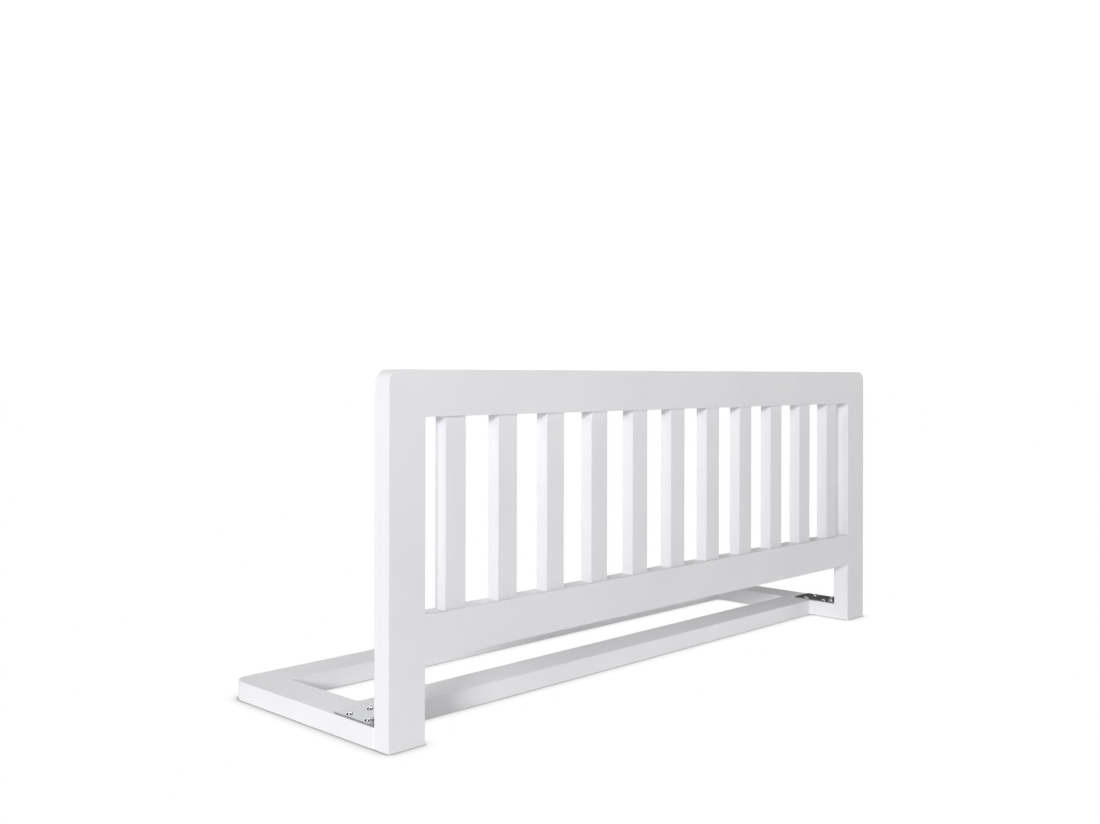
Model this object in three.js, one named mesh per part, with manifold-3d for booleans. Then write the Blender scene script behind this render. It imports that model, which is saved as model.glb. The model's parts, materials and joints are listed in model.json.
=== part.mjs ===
// A folding bed guard rail for a child's bed. A slatted wooden panel stands on a flat wooden frame
// that lies under the mattress, and two steel hinges let the panel fold down over that frame.
//
// Millimetres, +Z up. X runs along the bed, +Y points in under the mattress, and the origin is the
// middle of the space that the whole rail takes up, on the face that it rests on.

import * as THREE from 'three';
import { mergeVertices } from 'three/addons/utils/BufferGeometryUtils.js';
import Module from 'manifold-3d';

// Panel
const guardLength = 1200;
const guardHeight = 490;
const panelThickness = 30;
const postWidth = 60;
const topRailHeight = 62;
const bottomRailHeight = 60;
const bottomRailLift = 109;
const topCornerRadius = 18;

// Slats
const slatCount = 11;
const slatWidth = 36;
const slatThickness = 21;
const slatRecess = 4; // from the panel's front face to the slats' front face
const slatEdgeRadius = 0.5;
const endGapShare = 0.625; // the gap beside a post, as a share of the gap between two slats
const tenonLength = 12;
const tenonShoulder = 4; // from the slat's faces in to the tenon's

// Base frame
const baseDepth = 376; // from the panel's front face to the back of the frame
const baseThickness = 28;
const frontRailSetback = 55; // from the panel's back face to the front rail
const frontRailWidth = 61;
const backRailWidth = 64;
const backCornerRadius = 25;
const insideCornerRadius = 6;
const fixingHoleRadius = 3;
const fixingHoleEndInset = 104; // from the end of the frame

// Edges of all the wood
const edgeRadius = 0.5;
const largestEdgeShare = 0.3; // of a board's thickness
const footCornerRadius = 1; // of the posts, in front view
const armEndRadius = 5; // of the base's arms, in plan

// Dowels
const dowelRadius = 4;
const dowelLength = 50;
const dowelChamfer = 1;
const dowelInset = 14; // from the edge of a rail to the dowel's centre
const frontDowelShares = [0.25, 0.75]; // of the way from the hinge screws to the front rail's back

// Hinges
const hingeInset = 3; // from the edges of a post
const leafThickness = 1.5;
const leafReach = 85; // from the pin's centre to the far end of a leaf
const leafCornerRadius = 3;
const knuckleRadius = 5;
const knuckleCount = 5; // the base leaf has the odd ones
const curlAngle = THREE.MathUtils.degToRad(295); // how far a leaf's edge is rolled round the pin
const pinAboveBase = 5.3;
const pinBehindPost = 9.5;
const pinHeadRadius = 3.8;
const pinHeadHeight = 0.9;

// Hinge screws
const screwRadius = 2;
const screwLength = 22; // under the head
const screwPoint = 5;
const screwHeadRadius = 4.4;
const screwHeadHeight = 2;
const screwEdgeInset = 10; // from the ends of the hinge, along the pin
const nearScrewReach = 21; // from the pin's centre
const farScrewReach = 61;

// Fits
const fitGap = 0.3; // between pieces that slide, turn or lie on each other
const holeEndGap = 0.5; // past the end of a dowel, a tenon or a screw
const overrun = 1; // of a cutting shape past the face that it starts from

// Fineness of the curves
const chordError = 0.1;
const edgeSteps = 3;
const roundSteps = 12;
const headSteps = 4;

// Places that several pieces share
const guardMiddle = guardLength / 2;
const postInner = guardMiddle - postWidth;
const panelFront = -baseDepth / 2;
const panelBack = panelFront + panelThickness;
const panelMiddle = panelFront + panelThickness / 2;
const bottomRailTop = bottomRailLift + bottomRailHeight;
const topRailUnderside = guardHeight - topRailHeight;

const armEnd = panelBack + fitGap;
const frontRailFront = panelBack + frontRailSetback;
const frontRailBack = frontRailFront + frontRailWidth;
const baseBack = baseDepth / 2;
const backRailFront = baseBack - backRailWidth;

const pinY = panelBack + pinBehindPost;
const pinZ = baseThickness + pinAboveBase;
const hingeWidth = postWidth - 2 * hingeInset;
const hingeX = guardMiddle - postWidth / 2;
const screwAcross = hingeWidth / 2 - screwEdgeInset;
const screwPlaces = [nearScrewReach, farScrewReach].flatMap((reach) => [
  { across: -screwAcross, reach },
  { across: screwAcross, reach },
]);

// Finishes
const lacquer = new THREE.MeshStandardMaterial({ color: 0xf3f3f5, roughness: 0.45, metalness: 0 });
const beech = new THREE.MeshStandardMaterial({ color: 0xd8b88c, roughness: 0.8, metalness: 0 });
const steel = new THREE.MeshStandardMaterial({ color: 0xc8cacd, roughness: 0.15, metalness: 1 });

// Joining and cutting
const wasm = await Module();
wasm.setup();

function toSolid(geometry) {
  const bare = geometry.clone();
  bare.deleteAttribute('normal');
  bare.deleteAttribute('uv');
  const welded = mergeVertices(bare);
  return new wasm.Manifold(new wasm.Mesh({
    numProp: 3,
    vertProperties: Float32Array.from(welded.attributes.position.array),
    triVerts: Uint32Array.from(welded.index.array),
  }));
}

function toGeometry(solid) {
  const { vertProperties, triVerts } = solid.getMesh();
  const geometry = new THREE.BufferGeometry();
  geometry.setAttribute('position', new THREE.BufferAttribute(vertProperties, 3));
  geometry.setIndex(new THREE.BufferAttribute(triVerts, 1));
  const faceted = geometry.toNonIndexed();
  faceted.computeVertexNormals();
  return faceted;
}

function block(low, high) {
  const geometry = new THREE.BoxGeometry(1, 1, 1);
  const corner = geometry.attributes.position;
  const pick = (side, axis) => (side < 0 ? low[axis] : high[axis]);
  for (let i = 0; i < corner.count; i += 1) {
    corner.setXYZ(i, pick(corner.getX(i), 0), pick(corner.getY(i), 1), pick(corner.getZ(i), 2));
  }
  return toSolid(geometry);
}

// A rod along one axis, centred on a place.
function rod(axis, radius, length, [x, y, z]) {
  const geometry = new THREE.CylinderGeometry(radius, radius, length, roundSteps);
  if (axis === 'x') geometry.rotateZ(Math.PI / 2);
  if (axis === 'z') geometry.rotateX(Math.PI / 2);
  return toSolid(geometry.translate(x, y, z));
}

const cutAll = (solid, cutters) => cutters.reduce((left, cutter) => left.subtract(cutter), solid);

// Outlines
function arcPoints(centre, radius, from, sweep) {
  const step = 2 * Math.acos(1 - chordError / Math.max(radius, chordError));
  const steps = Math.max(2, Math.ceil(Math.abs(sweep) / step));
  return Array.from({ length: steps + 1 }, (_, i) => {
    const angle = from + (sweep * i) / steps;
    return new THREE.Vector2(
      centre.x + radius * Math.cos(angle),
      centre.y + radius * Math.sin(angle),
    );
  });
}

// Points round an outline of right-angled corners, each [x, y, radius] or a sharp [x, y].
function roundedOutline(corners) {
  return corners.flatMap(([x, y, radius], i) => {
    const corner = new THREE.Vector2(x, y);
    if (!radius) return [corner];
    const [bx, by] = corners.at(i - 1);
    const [ax, ay] = corners[(i + 1) % corners.length];
    const before = new THREE.Vector2(bx, by).sub(corner).normalize();
    const after = new THREE.Vector2(ax, ay).sub(corner).normalize();
    const centre = corner.clone().addScaledVector(before, radius).addScaledVector(after, radius);
    const from = Math.atan2(-after.y, -after.x);
    const turn = before.cross(after) < 0 ? 1 : -1;
    return arcPoints(centre, radius, from, (turn * Math.PI) / 2);
  });
}

// A board with its outline in the plane and all the edges of its two faces rounded.
function roundedBoard(outline, windowOutline, thickness) {
  const shape = new THREE.Shape(outline);
  shape.holes.push(new THREE.Path(windowOutline));
  const radius = Math.min(edgeRadius, largestEdgeShare * thickness);
  return new THREE.ExtrudeGeometry(shape, {
    depth: thickness - 2 * radius,
    bevelEnabled: true,
    bevelThickness: radius,
    bevelSize: radius,
    bevelOffset: -radius,
    bevelSegments: edgeSteps,
  }).translate(0, 0, radius);
}

const toEachSide = (make) => [-1, 1].map(make);

// The four places where a pair of dowels joins a rail to the piece at its left or right.
const dowelRow = (heights) => toEachSide((side) => heights.map((at) => ({ x: side * postInner, at }))).flat();

const guardDowels = dowelRow([
  bottomRailLift + dowelInset,
  bottomRailTop - dowelInset,
  topRailUnderside + dowelInset,
  guardHeight - dowelInset,
]);

// The front rail's dowels lie behind the hinge's far screws.
const screwHolesEnd = pinY + farScrewReach + screwRadius + fitGap;
const baseDowels = dowelRow([
  ...frontDowelShares.map((share) => screwHolesEnd + share * (frontRailBack - screwHolesEnd)),
  backRailFront + dowelInset,
  baseBack - dowelInset,
]);

const dowelHole = (x, y, z) => rod('x', dowelRadius + fitGap, dowelLength + 2 * holeEndGap, [x, y, z]);
const guardDowelHoles = guardDowels.map(({ x, at }) => dowelHole(x, panelMiddle, at));
const baseDowelHoles = baseDowels.map(({ x, at }) => dowelHole(x, at, baseThickness / 2));

// Pilot holes for the hinge screws
const pilotDepth = screwLength - leafThickness - 2 * fitGap + holeEndGap;

const basePilotHoles = toEachSide((side) => screwPlaces.map(({ across, reach }) => rod(
  'z',
  screwRadius + fitGap,
  pilotDepth + overrun,
  [side * hingeX + across, pinY + reach, baseThickness + (overrun - pilotDepth) / 2],
))).flat();

const postPilotHoles = toEachSide((side) => screwPlaces.map(({ across, reach }) => rod(
  'y',
  screwRadius + fitGap,
  pilotDepth + overrun,
  [side * hingeX + across, panelBack + (overrun - pilotDepth) / 2, pinZ + reach],
))).flat();

// Slats, evenly spread between the posts
const slatGap = (2 * postInner - slatCount * slatWidth) / (slatCount - 1 + 2 * endGapShare);
const slatY = panelFront + slatRecess + slatThickness / 2;
const slatPlaces = Array.from(
  { length: slatCount },
  (_, i) => (i - (slatCount - 1) / 2) * (slatWidth + slatGap),
);
const tenonHalfWidth = slatWidth / 2 - tenonShoulder;
const tenonHalfThickness = slatThickness / 2 - tenonShoulder;

function slatGeometry() {
  const halfWidth = slatWidth / 2;
  const halfThickness = slatThickness / 2;
  const section = new THREE.Shape(roundedOutline([
    [-halfWidth, -halfThickness, slatEdgeRadius],
    [halfWidth, -halfThickness, slatEdgeRadius],
    [halfWidth, halfThickness, slatEdgeRadius],
    [-halfWidth, halfThickness, slatEdgeRadius],
  ]));
  const bar = toSolid(new THREE.ExtrudeGeometry(section, { depth: guardHeight, bevelEnabled: false }));
  const shaft = bar.intersect(block(
    [-slatWidth, -slatThickness, bottomRailTop],
    [slatWidth, slatThickness, topRailUnderside],
  ));
  const tenons = block(
    [-tenonHalfWidth, -tenonHalfThickness, bottomRailTop - tenonLength],
    [tenonHalfWidth, tenonHalfThickness, topRailUnderside + tenonLength],
  );
  return toGeometry(shaft.add(tenons));
}

const mortises = slatPlaces.map((x) => block(
  [
    x - tenonHalfWidth - fitGap,
    slatY - tenonHalfThickness - fitGap,
    bottomRailTop - tenonLength - holeEndGap,
  ],
  [
    x + tenonHalfWidth + fitGap,
    slatY + tenonHalfThickness + fitGap,
    topRailUnderside + tenonLength + holeEndGap,
  ],
));

// The panel's frame is shaped as one, so that its posts and rails meet flush, and then parted.
function panelFrame() {
  const outline = roundedOutline([
    [-guardMiddle, 0, footCornerRadius],
    [-postInner, 0, footCornerRadius],
    [-postInner, bottomRailLift],
    [postInner, bottomRailLift],
    [postInner, 0, footCornerRadius],
    [guardMiddle, 0, footCornerRadius],
    [guardMiddle, guardHeight, topCornerRadius],
    [-guardMiddle, guardHeight, topCornerRadius],
  ]);
  const slatWindow = roundedOutline([
    [-postInner, bottomRailTop],
    [-postInner, topRailUnderside],
    [postInner, topRailUnderside],
    [postInner, bottomRailTop],
  ]);
  const board = roundedBoard(outline, slatWindow, panelThickness);
  return toSolid(board.rotateX(Math.PI / 2).translate(0, panelBack, 0));
}

// The base frame's outline in plan: two arms reach forward from the front rail to the posts.
function baseFrame() {
  const outline = roundedOutline([
    [-guardMiddle, armEnd, armEndRadius],
    [-postInner, armEnd, armEndRadius],
    [-postInner, frontRailFront, insideCornerRadius],
    [postInner, frontRailFront, insideCornerRadius],
    [postInner, armEnd, armEndRadius],
    [guardMiddle, armEnd, armEndRadius],
    [guardMiddle, baseBack, backCornerRadius],
    [-guardMiddle, baseBack, backCornerRadius],
  ]);
  const openMiddle = roundedOutline([
    [-postInner, frontRailBack, insideCornerRadius],
    [-postInner, backRailFront, insideCornerRadius],
    [postInner, backRailFront, insideCornerRadius],
    [postInner, frontRailBack, insideCornerRadius],
  ]);
  return toSolid(roundedBoard(outline, openMiddle, baseThickness));
}

// Takes the stretch of a frame between two places along X, and the given way up or back.
function stretch(frame, fromX, toX, [lowY, highY], [lowZ, highZ]) {
  return frame.intersect(block([fromX, lowY, lowZ], [toX, highY, highZ]));
}

const acrossPanel = [panelFront - overrun, panelBack + overrun];
const acrossBase = [panelBack, baseBack + overrun];
const throughBase = [-overrun, baseThickness + overrun];

function named(name, geometry, material) {
  const mesh = new THREE.Mesh(geometry, material);
  mesh.name = name;
  return mesh;
}

function woodenPiece(name, solid, cutters) {
  return named(name, toGeometry(cutAll(solid, cutters)), lacquer);
}

function panel() {
  const group = new THREE.Group();
  const frame = panelFrame();
  const fullHeight = [-overrun, guardHeight + overrun];
  const outside = guardMiddle + overrun;
  const cutters = [...guardDowelHoles, ...postPilotHoles, ...mortises];
  const middleHeight = (bottomRailTop + topRailUnderside) / 2;
  group.add(
    woodenPiece('left_post', stretch(frame, -outside, -postInner, acrossPanel, fullHeight), cutters),
    woodenPiece('right_post', stretch(frame, postInner, outside, acrossPanel, fullHeight), cutters),
    woodenPiece(
      'top_rail',
      stretch(frame, -postInner, postInner, acrossPanel, [middleHeight, guardHeight + overrun]),
      cutters,
    ),
    woodenPiece(
      'bottom_rail',
      stretch(frame, -postInner, postInner, acrossPanel, [-overrun, middleHeight]),
      cutters,
    ),
  );
  const slat = slatGeometry();
  slatPlaces.forEach((x, i) => {
    const mesh = named(`slat_${String(i + 1).padStart(2, '0')}`, slat, lacquer);
    mesh.position.set(x, slatY, 0);
    group.add(mesh);
  });
  return group;
}

function base() {
  const group = new THREE.Group();
  const frame = baseFrame();
  const outside = guardMiddle + overrun;
  const middle = (frontRailBack + backRailFront) / 2;
  const fixingHoles = toEachSide((side) => rod(
    'z',
    fixingHoleRadius,
    baseThickness + 2 * overrun,
    [side * (guardMiddle - fixingHoleEndInset), baseBack - backRailWidth / 2, baseThickness / 2],
  ));
  const cutters = [...baseDowelHoles, ...basePilotHoles, ...fixingHoles];
  group.add(
    woodenPiece('base_left_side', stretch(frame, -outside, -postInner, acrossBase, throughBase), cutters),
    woodenPiece('base_right_side', stretch(frame, postInner, outside, acrossBase, throughBase), cutters),
    woodenPiece(
      'base_front_rail',
      stretch(frame, -postInner, postInner, [panelBack, middle], throughBase),
      cutters,
    ),
    woodenPiece(
      'base_back_rail',
      stretch(frame, -postInner, postInner, [middle, baseBack + overrun], throughBase),
      cutters,
    ),
  );
  return group;
}

function dowels(prefix, places) {
  const group = new THREE.Group();
  const end = dowelLength / 2;
  const profile = [
    [0, -end],
    [dowelRadius - dowelChamfer, -end],
    [dowelRadius, dowelChamfer - end],
    [dowelRadius, end - dowelChamfer],
    [dowelRadius - dowelChamfer, end],
    [0, end],
  ].map(([radius, along]) => new THREE.Vector2(radius, along));
  const geometry = new THREE.LatheGeometry(profile, roundSteps).rotateZ(Math.PI / 2);
  places.forEach(([x, y, z], i) => {
    const mesh = named(`${prefix}_${i + 1}`, geometry, beech);
    mesh.position.set(x, y, z);
    group.add(mesh);
  });
  return group;
}

// Hinge leaves, drawn beside the pin: +X along it, +Y out along the leaf, +Z off the wood.
// The plate steps down from the level where it leaves the knuckles to its seat on the wood.
const notchReach = knuckleRadius + fitGap;
const bendShift = leafThickness * Math.tan(Math.PI / 8);
const knucklePitch = hingeWidth / knuckleCount;

function plateEdge(seat) {
  const step = seat - knuckleRadius;
  const stepStart = notchReach + leafThickness / 2;
  const lower = [
    [stepStart, -knuckleRadius],
    [stepStart + step, -seat],
    [leafReach, -seat],
  ];
  const upper = [
    [leafReach, leafThickness - seat],
    [stepStart + step + bendShift, leafThickness - seat],
    [stepStart + bendShift, leafThickness - knuckleRadius],
  ];
  return [...lower, ...upper].map(([along, off]) => new THREE.Vector2(along, off));
}

function plateOutline(seat) {
  return [
    new THREE.Vector2(notchReach, -knuckleRadius),
    ...plateEdge(seat),
    new THREE.Vector2(notchReach, leafThickness - knuckleRadius),
  ];
}

function rolledOutline(seat) {
  const centre = new THREE.Vector2(0, 0);
  const start = -Math.PI / 2;
  const inner = arcPoints(centre, knuckleRadius - leafThickness, start - curlAngle, curlAngle);
  const outer = arcPoints(centre, knuckleRadius, start, -curlAngle);
  return [...plateEdge(seat), ...inner.reverse(), ...outer.reverse()].reverse();
}

function strip(outline, from, to) {
  const shape = new THREE.Shape(outline);
  const geometry = new THREE.ExtrudeGeometry(shape, { depth: to - from, bevelEnabled: false });
  // The outline's plane becomes YZ, and the strip runs along X.
  const turn = new THREE.Matrix4().makeBasis(
    new THREE.Vector3(0, 1, 0),
    new THREE.Vector3(0, 0, 1),
    new THREE.Vector3(1, 0, 0),
  );
  return toSolid(geometry.applyMatrix4(turn).translate(from, 0, 0));
}

function leafGeometry(seat, hasKnuckle) {
  const half = hingeWidth / 2;
  let leaf = strip(plateOutline(seat), -half, half);
  for (let i = 0; i < knuckleCount; i += 1) {
    if (!hasKnuckle(i)) continue;
    const from = i * knucklePitch - half;
    const startGap = i === 0 ? 0 : fitGap / 2;
    const endGap = i === knuckleCount - 1 ? 0 : fitGap / 2;
    leaf = leaf.add(strip(rolledOutline(seat), from + startGap, from + knucklePitch - endGap));
  }
  const plan = new THREE.Shape(roundedOutline([
    [-half, -2 * knuckleRadius],
    [half, -2 * knuckleRadius],
    [half, leafReach, leafCornerRadius],
    [-half, leafReach, leafCornerRadius],
  ]));
  const depth = 2 * (seat + knuckleRadius);
  const trim = toSolid(new THREE.ExtrudeGeometry(plan, { depth, bevelEnabled: false })
    .translate(0, 0, -depth / 2));
  const holes = screwPlaces.map(({ across, reach }) => rod(
    'z',
    screwRadius + fitGap,
    leafThickness + 2 * overrun,
    [across, reach, leafThickness / 2 - seat],
  ));
  return toGeometry(cutAll(leaf.intersect(trim), holes));
}

// A pin with a low domed head at each end.
function pinGeometry() {
  const shank = knuckleRadius - leafThickness - fitGap;
  const end = hingeWidth / 2 + fitGap;
  const dome = (sign) => Array.from({ length: headSteps + 1 }, (_, i) => {
    const angle = (i / headSteps) * (Math.PI / 2);
    return [
      i === headSteps ? 0 : pinHeadRadius * Math.cos(angle),
      sign * (end + pinHeadHeight * Math.sin(angle)),
    ];
  });
  const profile = [
    ...dome(-1).reverse(),
    [shank, -end],
    [shank, end],
    ...dome(1),
  ].map(([radius, along]) => new THREE.Vector2(radius, along));
  return new THREE.LatheGeometry(profile, roundSteps).rotateZ(-Math.PI / 2);
}

// A wood screw with a domed head, drawn with its head's seat at zero and its point down.
function screwGeometry() {
  const dome = Array.from({ length: headSteps + 1 }, (_, i) => {
    const angle = (i / headSteps) * (Math.PI / 2);
    return [
      i === headSteps ? 0 : screwHeadRadius * Math.cos(angle),
      screwHeadHeight * Math.sin(angle),
    ];
  });
  const profile = [
    [0, -screwLength],
    [screwRadius, screwPoint - screwLength],
    [screwRadius, 0],
    ...dome,
  ].map(([radius, along]) => new THREE.Vector2(radius, along));
  return new THREE.LatheGeometry(profile, roundSteps).rotateX(Math.PI / 2);
}

function leafWithScrews(prefix, kind, seat, hasKnuckle) {
  const group = new THREE.Group();
  const screw = screwGeometry();
  group.add(named(`${prefix}_${kind}_leaf`, leafGeometry(seat, hasKnuckle), steel));
  screwPlaces.forEach(({ across, reach }, i) => {
    const mesh = named(`${prefix}_${kind}_screw_${i + 1}`, screw, steel);
    mesh.position.set(across, reach, leafThickness - seat + fitGap);
    group.add(mesh);
  });
  return group;
}

function hinge(prefix, x) {
  const group = new THREE.Group();
  group.position.set(x, pinY, pinZ);
  const baseLeaf = leafWithScrews(prefix, 'base', pinAboveBase - fitGap, (i) => i % 2 === 0);
  const postLeaf = leafWithScrews(prefix, 'post', pinBehindPost - fitGap, (i) => i % 2 === 1);
  // The post's leaf is turned half round about the line midway between the two leaves.
  postLeaf.setRotationFromAxisAngle(new THREE.Vector3(0, 1, 1).normalize(), Math.PI);
  group.add(baseLeaf, postLeaf, named(`${prefix}_pin`, pinGeometry(), steel));
  return group;
}

const guardRail = new THREE.Group();
guardRail.add(
  panel(),
  base(),
  dowels('guard_dowel', guardDowels.map(({ x, at }) => [x, panelMiddle, at])),
  dowels('base_dowel', baseDowels.map(({ x, at }) => [x, at, baseThickness / 2])),
  hinge('left_hinge', -hingeX),
  hinge('right_hinge', hingeX),
);

export default guardRail;
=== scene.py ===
# The looks of a folding bed guard rail: white lacquered boards, zinc-plated hinges and beech dowels, on
# a lit white table top. Metres, in the part's own frame: X along the bed, +Y in under the mattress, +Z up.

import json
import math

import bmesh
import bpy
from mathutils import Matrix, Vector

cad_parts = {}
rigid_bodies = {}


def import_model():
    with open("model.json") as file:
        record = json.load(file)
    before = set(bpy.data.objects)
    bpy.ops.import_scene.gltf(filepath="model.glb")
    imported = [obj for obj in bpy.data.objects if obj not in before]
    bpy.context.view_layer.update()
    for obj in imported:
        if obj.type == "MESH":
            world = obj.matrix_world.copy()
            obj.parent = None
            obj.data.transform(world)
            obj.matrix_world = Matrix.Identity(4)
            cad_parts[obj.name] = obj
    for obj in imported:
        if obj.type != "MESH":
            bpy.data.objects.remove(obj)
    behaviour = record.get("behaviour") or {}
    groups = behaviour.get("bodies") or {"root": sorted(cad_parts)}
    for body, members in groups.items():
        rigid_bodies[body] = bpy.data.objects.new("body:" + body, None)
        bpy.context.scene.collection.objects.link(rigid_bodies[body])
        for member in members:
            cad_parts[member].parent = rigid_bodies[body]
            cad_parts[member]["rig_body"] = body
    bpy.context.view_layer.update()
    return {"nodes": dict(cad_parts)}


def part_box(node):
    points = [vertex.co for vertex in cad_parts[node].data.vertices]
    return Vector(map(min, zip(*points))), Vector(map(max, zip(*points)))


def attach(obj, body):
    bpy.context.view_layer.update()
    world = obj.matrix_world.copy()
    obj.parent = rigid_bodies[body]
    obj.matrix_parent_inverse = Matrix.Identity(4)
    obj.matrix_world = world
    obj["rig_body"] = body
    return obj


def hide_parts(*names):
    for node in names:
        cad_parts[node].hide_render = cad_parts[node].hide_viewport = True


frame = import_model()
nodes = frame["nodes"]

MM = 0.001
WHITE = "#FFFFFF"

# Camera: an eye point almost level with the top rail, and a frame shifted down to take in the floor
PICTURE_WIDTH = 1100
PICTURE_HEIGHT = 824
FOCAL_PIXELS = 1159.3
CENTRE_PIXEL = (547.8, 374.8)
SENSOR_WIDTH = 36.0
EYE = Vector((-1.5154, -1.3576, 0.4834))
TURN = math.radians(45.835)
ROLL = math.radians(0.12)

# Lacquer over pine, in millimetres, with its orange peel drawn coarser than real so that it shows
LACQUER_CODES = ("#E9E9EC", "#EDEDEF")
LACQUER_ROUGHNESS = (0.36, 0.44)
LACQUER_IOR = 1.5
GRAIN_WIDTH = 2.2
GRAIN_LENGTH = 90
GRAIN_DEPTH = 0.02
PEEL_WIDTH = 3.5
PEEL_DEPTH = 0.008
CLOUD_WIDTH = 160

# Bare beech, in millimetres
BEECH_CODES = ("#B98F66", "#D9B78C", "#E4C8A2")
BEECH_ROUGHNESS = 0.7
BEECH_IOR = 1.5
FLECK_WIDTH = 0.7
FLECK_LENGTH = 12
FLECK_DEPTH = 0.03

# Zinc plating, in millimetres, with the rolled lines drawn coarser than real so that they show
LEAF_CODES = ("#AEAFB1", "#B4B5B7")
LEAF_ROUGHNESS = (0.04, 0.08)
SCREW_CODES = ("#CECFD1", "#D4D5D7")
SCREW_ROUGHNESS = (0.03, 0.06)
MOTTLE_WIDTH = 6
ROLLED_LINE_WIDTH = 0.4
ROLLED_LINE_LENGTH = 40
ROLLED_LINE_DEPTH = 0.002

# Noise heights between which a pattern goes through its colours
PATCH_STOPS = (0.3, 0.7)
FLECK_STOPS = (0.35, 0.5, 0.68)

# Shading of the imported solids
WELD_DISTANCE = 0.001 * MM
FLAT_LIMIT = math.radians(1)
SMOOTH_LIMIT = math.radians(40)
PRESSED_EDGE = 0.25 * MM
PRESSED_EDGE_STEPS = 2

# Screws and pins
ROUND_SEGMENTS = 40
DOME_STEPS = 8
HEAD_HEIGHT = 2 * MM
HEAD_RIM = 0.8 * MM
POINT_LENGTH = 5 * MM
SHANK_RADIUS = 2 * MM
RECESS_WIDTH = 0.8 * MM
RECESS_REACH = 1.6 * MM
RECESS_DEPTH = 1.5 * MM
RECESS_TAPER = 0.5
CUTTER_TOP = 2.4 * MM
PIN_RADIUS = 3.2 * MM
PIN_DOME = 0.9 * MM

# Table top. Its glow is darkened by ambient occlusion into a painted shadow around the part: a wide soft halo
# and a thin dark contact line
FLOOR_SIZE = 60
PAINTED_HALO_REACH = 22 * MM
PAINTED_HALO_DEPTH = 0.5
PAINTED_CONTACT_LINE_REACH = 7 * MM
SHEET_CODE = "#F4F4F4"
SHEET_ROUGHNESS = 0.8
SHEET_GLOW = 0.245

# Soft lights: where each stands, what it points at, its width and height, and its power in watts
MIDDLE = (0, 0, 0.2)
NEAR_POST_TOP = (-0.6, -0.17, 0.45)
NEAR_POST_FRONT = (-0.55, -0.19, 0.45)
SOFTBOXES = {
    "key_softbox": ((-8.45, -4.76, 2.62), MIDDLE, (2.0, 1.4), 514),
    "front_right_softbox": ((4.5, -3.77, 1.6), MIDDLE, (4.0, 3.0), 72),
    "high_back_softbox": ((1.51, 2.08, 3.26), MIDDLE, (2.0, 2.0), 38),
    "back_softbox": ((0, 4, 1.4), MIDDLE, (2.0, 2.4), 40),
    "back_left_strip": ((1.37, 3.76, 1.0), MIDDLE, (1.2, 1.6), 5.2),
    "back_strip": ((2.29, 3.28, 1.0), MIDDLE, (1.2, 1.6), 6.4),
    "back_right_strip": ((3.06, 2.57, 1.0), MIDDLE, (1.2, 1.6), 2),
    "near_corner_softbox": ((-1.5, 0.4, 1.1), NEAR_POST_TOP, (0.6, 0.6), 4.7),
    "near_front_softbox": ((-1.0, -1.0, 1.3), NEAR_POST_FRONT, (0.5, 0.5), 3.7),
}

# Brightness of the walls, as the camera sees them and as gloss mirrors them
WALL_SEEN = 1.05
WALL_MIRRORED = 0.1


def linear(code):
    """An sRGB hex colour as linear red, green, blue and alpha."""
    parts = [int(code[i:i + 2], 16) / 255 for i in (1, 3, 5)]
    return (*((c / 12.92 if c <= 0.04045 else ((c + 0.055) / 1.055) ** 2.4) for c in parts), 1.0)


def add(tree, kind, settings=None, **links):
    """Adds a node, sets its properties, ramp stops and sockets by name, and links its sockets to outputs."""
    node = tree.nodes.new(kind)
    for name, value in (settings or {}).items():
        if name == "stops":
            ramp = node.color_ramp.elements
            while len(ramp) < len(value):
                ramp.new(1.0)
            for stop, (at, code) in zip(ramp, value):
                stop.position = at
                stop.color = linear(code)
        elif hasattr(node, name):
            setattr(node, name, value)
        else:
            node.inputs[name].default_value = value
    for name, output in links.items():
        tree.links.new(output, node.inputs[name.replace("_", " ")])
    return node


def material(name, build):
    """A material of that name, with the shader that build makes in its node tree."""
    made = bpy.data.materials.new(name)
    made.use_nodes = True
    made.node_tree.nodes.clear()
    shader = build(made.node_tree)
    add(made.node_tree, "ShaderNodeOutputMaterial", Surface=shader.outputs[0])
    return made


def figure(tree, widths, detail):
    """Noise in the piece's own space, with features of those widths in millimetres along X, Y and Z."""
    place = add(tree, "ShaderNodeTexCoord")
    scale = [1 / (width * MM) for width in widths]
    scaled = add(tree, "ShaderNodeMapping", {"Scale": scale}, Vector=place.outputs["Object"])
    return add(
        tree, "ShaderNodeTexNoise", {"Scale": 1.0, "Detail": detail}, Vector=scaled.outputs["Vector"],
    )


def lacquered_pine(along):
    """White polyurethane lacquer, sprayed over planed and primed pine. It is satin, with a fine orange peel
    that breaks up reflections, and the grain shows through as the faintest lines along the board."""
    widths = [GRAIN_LENGTH if axis == along else GRAIN_WIDTH for axis in "XYZ"]

    def build(tree):
        grain = figure(tree, widths, detail=4.0)
        peel = figure(tree, [PEEL_WIDTH] * 3, detail=1.0)
        cloud = figure(tree, [CLOUD_WIDTH] * 3, detail=2.0)
        paint = add(
            tree, "ShaderNodeValToRGB", {"stops": list(zip(PATCH_STOPS, LACQUER_CODES))},
            Fac=cloud.outputs["Fac"],
        )
        gloss = add(
            tree, "ShaderNodeMapRange",
            {"To Min": LACQUER_ROUGHNESS[0], "To Max": LACQUER_ROUGHNESS[1]},
            Value=peel.outputs["Fac"],
        )
        lines = add(tree, "ShaderNodeBump", {"Distance": GRAIN_DEPTH * MM}, Height=grain.outputs["Fac"])
        skin = add(
            tree, "ShaderNodeBump", {"Distance": PEEL_DEPTH * MM},
            Height=peel.outputs["Fac"], Normal=lines.outputs["Normal"],
        )
        return add(
            tree, "ShaderNodeBsdfPrincipled", {"IOR": LACQUER_IOR},
            Base_Color=paint.outputs["Color"], Roughness=gloss.outputs["Result"],
            Normal=skin.outputs["Normal"],
        )

    return material(f"white_lacquer_on_pine_along_{along.lower()}", build)


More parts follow.
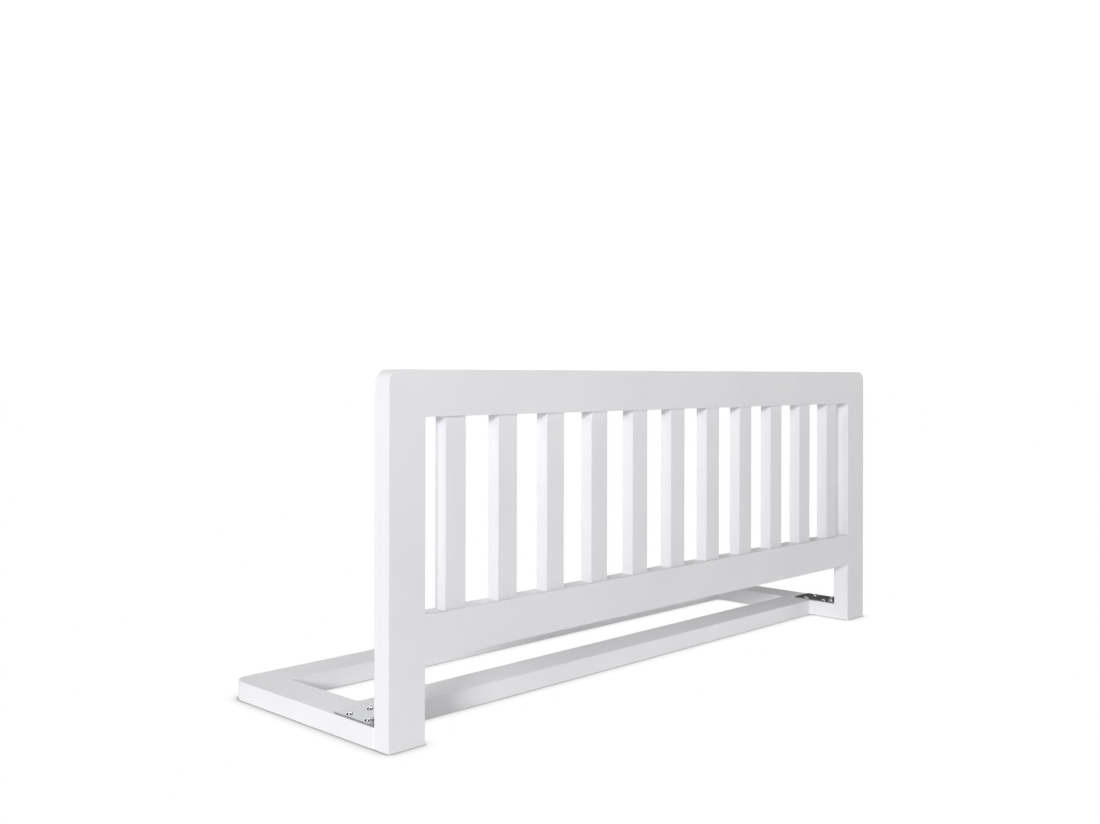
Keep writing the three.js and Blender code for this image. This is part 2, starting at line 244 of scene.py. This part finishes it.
def turned_beech():
    """Bare beech, turned to a rod and left unfinished: dry, pale pinkish brown, with short darker flecks
    along the rod."""

    def build(tree):
        fleck = figure(tree, [FLECK_LENGTH, FLECK_WIDTH, FLECK_WIDTH], detail=5.0)
        wood = add(
            tree, "ShaderNodeValToRGB", {"stops": list(zip(FLECK_STOPS, BEECH_CODES))},
            Fac=fleck.outputs["Fac"],
        )
        surface = add(tree, "ShaderNodeBump", {"Distance": FLECK_DEPTH * MM}, Height=fleck.outputs["Fac"])
        return add(
            tree, "ShaderNodeBsdfPrincipled", {"IOR": BEECH_IOR, "Roughness": BEECH_ROUGHNESS},
            Base_Color=wood.outputs["Color"], Normal=surface.outputs["Normal"],
        )

    return material("bare_turned_beech", build)


def plated_steel(name, codes, roughness):
    """Zinc over rolled steel: a grey mirror, clouded a little in soft patches, with the fine lines
    of the rolled metal under the plating."""

    def build(tree):
        mottle = figure(tree, [MOTTLE_WIDTH] * 3, detail=3.0)
        lines = figure(tree, [ROLLED_LINE_LENGTH, ROLLED_LINE_WIDTH, ROLLED_LINE_WIDTH], detail=2.0)
        tone = add(
            tree, "ShaderNodeValToRGB", {"stops": list(zip(PATCH_STOPS, codes))},
            Fac=mottle.outputs["Fac"],
        )
        haze = add(
            tree, "ShaderNodeMapRange", {"To Min": roughness[0], "To Max": roughness[1]},
            Value=mottle.outputs["Fac"],
        )
        surface = add(
            tree, "ShaderNodeBump", {"Distance": ROLLED_LINE_DEPTH * MM}, Height=lines.outputs["Fac"],
        )
        return add(
            tree, "ShaderNodeBsdfPrincipled", {"Metallic": 1.0},
            Base_Color=tone.outputs["Color"], Roughness=haze.outputs["Result"],
            Normal=surface.outputs["Normal"],
        )

    return material(name, build)


def light_table():
    """The opal top of a light table, lit from within. It looks plain white but for painted shade around the
    part: a soft halo and a thin dark line, which ambient occlusion darkens into its glow where the part
    stands close."""

    def build(tree):
        # Painted shadow: two occlusion tests darken the glow's colour near the part, first a soft halo and
        # then a thin dark contact line
        wide = add(tree, "ShaderNodeAmbientOcclusion", {"Distance": PAINTED_HALO_REACH})
        halo = add(tree, "ShaderNodeGamma", {"Gamma": PAINTED_HALO_DEPTH}, Color=wide.outputs["Color"])
        line = add(
            tree, "ShaderNodeAmbientOcclusion", {"Distance": PAINTED_CONTACT_LINE_REACH}, Color=halo.outputs["Color"],
        )
        return add(tree, "ShaderNodeEmission", {"Strength": 1.0}, Color=line.outputs["Color"])

    return material("lit_opal_table_top_painted_shadow", build)


def white_sheet():
    """White acrylic sheet with a little light of its own, which throws light up at the part's lower
    faces."""

    def build(tree):
        return add(
            tree, "ShaderNodeBsdfPrincipled",
            {"Base Color": linear(SHEET_CODE), "Roughness": SHEET_ROUGHNESS,
             "Emission Color": linear(WHITE), "Emission Strength": SHEET_GLOW},
        )

    return material("white_acrylic_sheet", build)


def smoothing():
    """Welds a mesh and shades it smooth, but for the edges sharper than the limit."""
    tree = bpy.data.node_groups.new("smooth_round_edges", "GeometryNodeTree")
    tree.interface.new_socket("Geometry", in_out="INPUT", socket_type="NodeSocketGeometry")
    tree.interface.new_socket("Geometry", in_out="OUTPUT", socket_type="NodeSocketGeometry")
    start = add(tree, "NodeGroupInput")
    angle = add(tree, "GeometryNodeInputMeshEdgeAngle")
    round_edge = add(
        tree, "FunctionNodeCompare", {"operation": "LESS_EQUAL", "B": SMOOTH_LIMIT},
        A=angle.outputs["Unsigned Angle"],
    )
    faces = add(
        tree, "GeometryNodeSetShadeSmooth", {"domain": "FACE", "Shade Smooth": True},
        Geometry=start.outputs["Geometry"],
    )
    edges = add(
        tree, "GeometryNodeSetShadeSmooth", {"domain": "EDGE"},
        Geometry=faces.outputs["Geometry"], Shade_Smooth=round_edge.outputs["Result"],
    )
    add(tree, "NodeGroupOutput", Geometry=edges.outputs["Geometry"])
    return tree


SMOOTHING = smoothing()


def shade(obj, pressed_edge=0.0):
    """Rounds what is round in the shading of a faceted mesh, keeps its flats flat, and eases its sharp edges
    by that width if one is given."""
    obj.modifiers.new("weld", "WELD").merge_threshold = WELD_DISTANCE
    flat = obj.modifiers.new("join_flats", "DECIMATE")
    flat.decimate_type = "DISSOLVE"
    flat.angle_limit = FLAT_LIMIT
    if pressed_edge:
        edge = obj.modifiers.new("pressed_edge", "BEVEL")
        edge.width = pressed_edge
        edge.segments = PRESSED_EDGE_STEPS
        edge.limit_method = "ANGLE"
        edge.angle_limit = SMOOTH_LIMIT
    obj.modifiers.new("smooth", "NODES").node_group = SMOOTHING
    obj.modifiers.new("flat_faces", "WEIGHTED_NORMAL").keep_sharp = True


def finish_with(obj, finish):
    """Gives a piece one finish."""
    obj.data.materials.clear()
    obj.data.materials.append(finish)


def boards():
    """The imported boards, each with its grain along its own length."""
    finishes = {axis: lacquered_pine(axis) for axis in "XYZ"}
    along = {"left_post": "Z", "right_post": "Z", "base_left_side": "Y", "base_right_side": "Y"}
    for name, obj in nodes.items():
        if name.startswith("slat_"):
            axis = "Z"
        elif name.endswith(("_post", "_side", "_rail")):
            axis = along.get(name, "X")
        else:
            continue
        finish_with(obj, finishes[axis])
        shade(obj)


def dowels(finish):
    """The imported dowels, which lie along X as their flecks do."""
    for name, obj in nodes.items():
        if "_dowel_" in name:
            finish_with(obj, finish)
            shade(obj)


def leaves(finish):
    """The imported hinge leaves, with the eased edges of pressed plate."""
    for name, obj in nodes.items():
        if name.endswith("_leaf"):
            finish_with(obj, finish)
            shade(obj, PRESSED_EDGE)


def to_mesh(shape):
    """A mesh from a bmesh, which is freed."""
    mesh = bpy.data.meshes.new("shape")
    shape.to_mesh(mesh)
    shape.free()
    return mesh


def linked(name, data):
    """A new object in the scene, made from a mesh, a lens or a light."""
    obj = bpy.data.objects.new(name, data)
    bpy.context.scene.collection.objects.link(obj)
    return obj


def turned(profile):
    """A closed mesh turned about Z from (radius, height) pairs that start and end on the axis."""
    shape = bmesh.new()
    rings = []
    for radius, height in profile:
        count = ROUND_SEGMENTS if radius else 1
        turns = [2 * math.pi * i / count for i in range(count)]
        rings.append([shape.verts.new((radius * math.cos(t), radius * math.sin(t), height)) for t in turns])
    for low, high in zip(rings, rings[1:]):
        for i in range(ROUND_SEGMENTS):
            j = (i + 1) % ROUND_SEGMENTS
            corners = [low[i % len(low)], low[j % len(low)], high[j % len(high)], high[i % len(high)]]
            shape.faces.new(list(dict.fromkeys(corners)))
    bmesh.ops.recalc_face_normals(shape, faces=shape.faces)
    return to_mesh(shape)


def dome(radius, height, base):
    """Points of a dome's profile from its rim up to the axis."""
    steps = [math.pi / 2 * i / DOME_STEPS for i in range(DOME_STEPS)]
    return [(radius * math.cos(t), base + height * math.sin(t)) for t in steps] + [(0, base + height)]


def wedge(turn):
    """One arm of the cutter for a cross recess, tapering down into the head from just above it."""
    shape = bmesh.new()
    for height, share in ((CUTTER_TOP, 1.0), (HEAD_HEIGHT - RECESS_DEPTH, RECESS_TAPER)):
        reach = RECESS_REACH * share
        half = RECESS_WIDTH / 2 * share
        for x, y in ((-reach, -half), (reach, -half), (reach, half), (-reach, half)):
            shape.verts.new((x, y, height))
    bmesh.ops.convex_hull(shape, input=shape.verts)
    bmesh.ops.rotate(shape, verts=shape.verts, matrix=Matrix.Rotation(turn, 3, "Z"))
    return to_mesh(shape)


def without(mesh, cutters):
    """A mesh with others cut out of it."""
    body = linked("body", mesh)
    tools = [linked("tool", cutter) for cutter in cutters]
    for tool in tools:
        cut = body.modifiers.new("cut", "BOOLEAN")
        cut.object = tool
        cut.solver = "EXACT"
    whole = bpy.context.evaluated_depsgraph_get()
    result = bpy.data.meshes.new_from_object(body.evaluated_get(whole))
    for obj in (body, *tools):
        bpy.data.objects.remove(obj)
    return result


def screw_mesh(low, high):
    """A wood screw with a domed head and a cross recess, its head's seat at zero and its point down."""
    radius = (high.x - low.x) / 2
    length = high.z - low.z - HEAD_HEIGHT
    profile = [
        (0, -length),
        (SHANK_RADIUS, POINT_LENGTH - length),
        (SHANK_RADIUS, 0),
        (radius, 0),
        *dome(radius, HEAD_HEIGHT - HEAD_RIM, HEAD_RIM),
    ]
    return without(turned(profile), [wedge(0), wedge(math.pi / 2)])


def stand_in_for(name, mesh, place, finish):
    """A finer piece in the place of a packed one, on the same body."""
    obj = linked(f"{name}_turned", mesh)
    obj.matrix_world = place
    finish_with(obj, finish)
    shade(obj)
    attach(obj, nodes[name]["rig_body"])
    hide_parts(name)


def pins(finish):
    """The hinge pins, each with its two ends peened over to low domes."""
    low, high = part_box("left_hinge_pin")
    half = (high.x - low.x) / 2
    radius = (high.z - low.z) / 2
    shoulder = half - PIN_DOME
    upper = dome(radius, PIN_DOME, shoulder)
    lower = [(r, -h) for r, h in reversed(upper)]
    mesh = turned([*lower, (PIN_RADIUS, -shoulder), (PIN_RADIUS, shoulder), *upper])
    for name in nodes:
        if name.endswith("_pin"):
            low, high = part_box(name)
            place = Matrix.Translation((low + high) / 2) @ Matrix.Rotation(math.pi / 2, 4, "Y")
            stand_in_for(name, mesh, place, finish)


def screws(finish):
    """The screws, upright in the base and level in the posts, each head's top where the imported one's is."""
    mesh = screw_mesh(*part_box("left_hinge_base_screw_1"))
    for name in nodes:
        if "_screw_" not in name:
            continue
        low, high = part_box(name)
        middle = (low + high) / 2
        if "_base_" in name:
            place = Matrix.Translation((middle.x, middle.y, high.z - HEAD_HEIGHT))
        else:
            seat = Matrix.Translation((middle.x, high.y - HEAD_HEIGHT, middle.z))
            place = seat @ Matrix.Rotation(-math.pi / 2, 4, "X")
        stand_in_for(name, mesh, place, finish)


def camera():
    """The camera, with the photograph's place, direction and frame."""
    lens = bpy.data.cameras.new("camera")
    lens.sensor_width = SENSOR_WIDTH
    lens.lens = SENSOR_WIDTH * FOCAL_PIXELS / PICTURE_WIDTH
    lens.shift_x = (PICTURE_WIDTH / 2 - CENTRE_PIXEL[0]) / PICTURE_WIDTH
    lens.shift_y = (CENTRE_PIXEL[1] - PICTURE_HEIGHT / 2) / PICTURE_WIDTH
    obj = linked("camera", lens)
    level = Matrix.Rotation(-TURN, 4, "Z") @ Matrix.Rotation(math.pi / 2, 4, "X")
    obj.matrix_world = Matrix.Translation(EYE) @ level @ Matrix.Rotation(ROLL, 4, "Z")
    bpy.context.scene.camera = obj


def sheet(name, finish, drop, seen):
    """A floor sheet, either the one that the camera sees or the one that lights the part from below."""
    shape = bmesh.new()
    bmesh.ops.create_grid(shape, x_segments=1, y_segments=1, size=FLOOR_SIZE / 2)
    obj = linked(name, to_mesh(shape))
    obj.location.z = -drop
    obj.visible_camera = seen
    obj.visible_diffuse = not seen
    obj.visible_glossy = not seen
    obj.visible_shadow = not seen
    finish_with(obj, finish)


def softbox(name, place, aim, size, power):
    """A soft rectangular light at a place, turned towards another."""
    light = bpy.data.lights.new(name, "AREA")
    light.shape = "RECTANGLE"
    light.size, light.size_y = size
    light.energy = power
    obj = linked(name, light)
    obj.location = place
    obj.rotation_euler = (Vector(aim) - Vector(place)).to_track_quat("-Z", "Y").to_euler()


def walls():
    """The studio's walls: white to the camera, dim where gloss mirrors them, and no light for matt
    surfaces."""
    world = bpy.data.worlds.new("studio")
    bpy.context.scene.world = world
    world.use_nodes = True
    tree = world.node_tree
    tree.nodes.clear()
    ray = add(tree, "ShaderNodeLightPath")
    tone = add(
        tree, "ShaderNodeMapRange", {"To Min": WALL_MIRRORED, "To Max": WALL_SEEN},
        Value=ray.outputs["Is Camera Ray"],
    )
    air = add(tree, "ShaderNodeBackground", {"Color": linear(WHITE)}, Strength=tone.outputs["Result"])
    add(tree, "ShaderNodeOutputWorld", Surface=air.outputs["Background"])
    world.cycles_visibility.diffuse = False


camera()
boards()
dowels(turned_beech())

# The screws are plated brighter and smoother than the leaves and pins
leaf_zinc = plated_steel("zinc_plated_rolled_steel", LEAF_CODES, LEAF_ROUGHNESS)
leaves(leaf_zinc)
pins(leaf_zinc)
screws(plated_steel("bright_plated_screw_steel", SCREW_CODES, SCREW_ROUGHNESS))

# The seen floor's glow carries a painted shadow around the part
sheet("seen_floor", light_table(), 0, seen=True)
sheet("lighting_floor", white_sheet(), MM, seen=False)
for light_name, light in SOFTBOXES.items():
    softbox(light_name, *light)
walls()
bpy.context.scene.view_settings.view_transform = "Standard"
